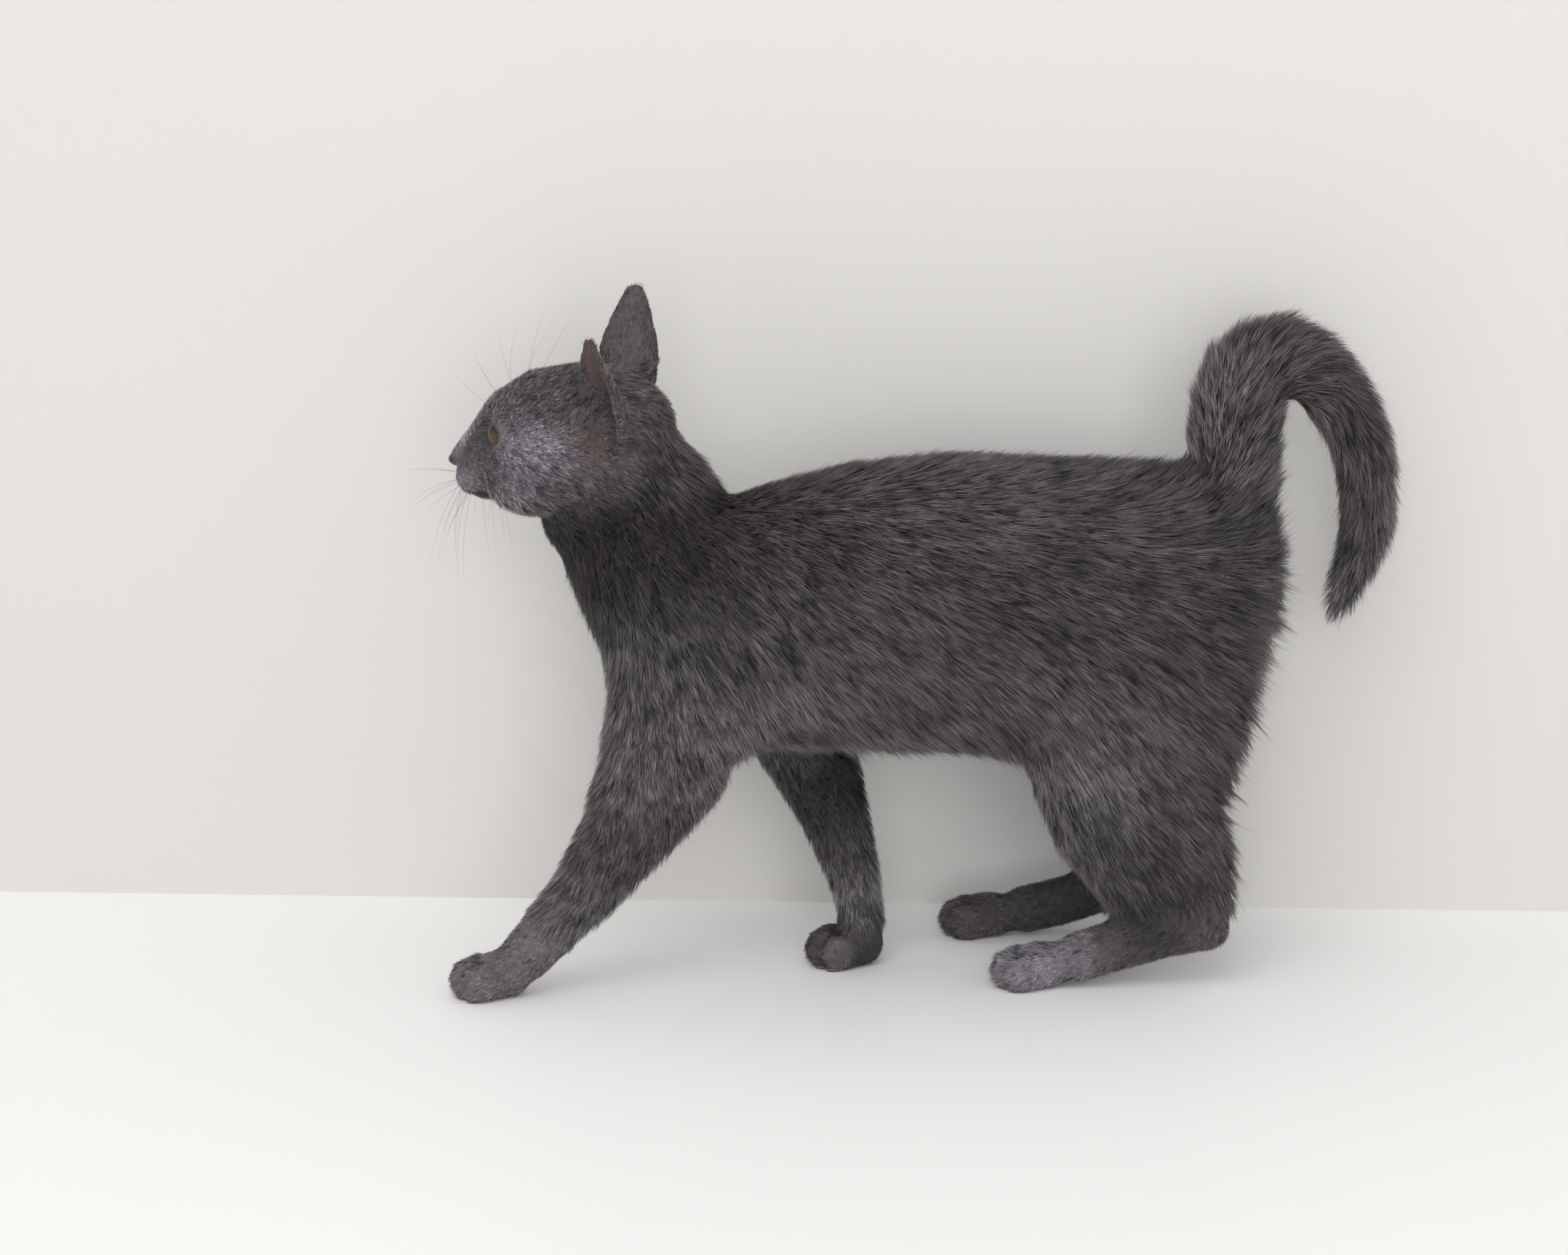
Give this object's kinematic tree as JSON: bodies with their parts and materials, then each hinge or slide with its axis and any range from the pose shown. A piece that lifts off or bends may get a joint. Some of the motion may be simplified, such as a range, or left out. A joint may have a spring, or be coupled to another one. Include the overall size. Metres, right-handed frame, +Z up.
{
  "type": "walking kitten",
  "caption": "Life-size model of a young short-haired cat walking, head turned a little aside and tail carried up and curled back.",
  "frame": {"origin": "on the floor, under the middle of the overall box", "axes": "-X the way the cat faces, +Y its right side, +Z up"},
  "size_m": [0.4016, 0.1426, 0.2943],
  "materials": {
    "coat": "plush",
    "nose_leather": "satin",
    "eye": "gloss"
  },
  "bodies": {
    "root": {"trunk": "coat", "neck": "coat", "head": "coat", "ear_left": "coat", "ear_right": "coat", "tail_base": "coat", "tail_bend": "coat", "tail_tip": "coat", "foreleg_left": "coat", "foreleg_right": "coat", "forepaw_left": "coat", "forepaw_right": "coat", "hindleg_left": "coat", "hindleg_right": "coat", "hindfoot_left": "coat", "hindfoot_right": "coat", "nose": "nose_leather", "eye_left": "eye", "eye_right": "eye"}
  },
  "joints": []
}
